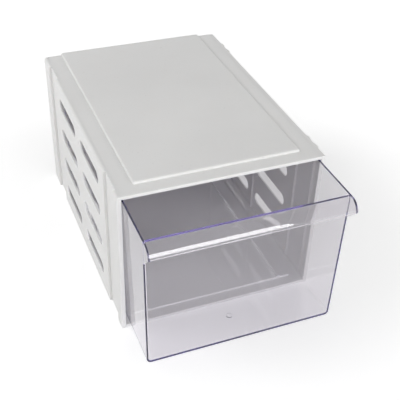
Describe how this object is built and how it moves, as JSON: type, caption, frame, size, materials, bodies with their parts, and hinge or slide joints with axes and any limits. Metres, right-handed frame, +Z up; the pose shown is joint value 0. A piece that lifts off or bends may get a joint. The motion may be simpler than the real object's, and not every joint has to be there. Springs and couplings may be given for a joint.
{
  "type": "stackable drawer box",
  "caption": "Pale moulded casing, open at the front, with a clear pull-out drawer; it stacks on its raised top and links side by side.",
  "frame": {"origin": "middle of the whole footprint on the table, with the drawer pulled out as pictured", "axes": "+Z up, +X to the right seen from the front, the drawer pulls out towards -Y"},
  "size_m": [0.242, 0.414, 0.1898],
  "materials": {
    "casing_plastic": "fine satin moulded surface",
    "clear_plastic": "clear, glossy, faint violet at the edges"
  },
  "bodies": {
    "casing": {"top_panel": "casing_plastic", "base_panel": "casing_plastic", "rear_panel": "casing_plastic", "left_side_panel": "casing_plastic", "right_side_panel": "casing_plastic"},
    "drawer": {"drawer_tray": "clear_plastic"}
  },
  "joints": [
    {"name": "drawer_slide", "type": "slide", "parent": "casing", "child": "drawer", "axis": [0, -1, 0], "range_m": [-0.068, 0.19]}
  ]
}
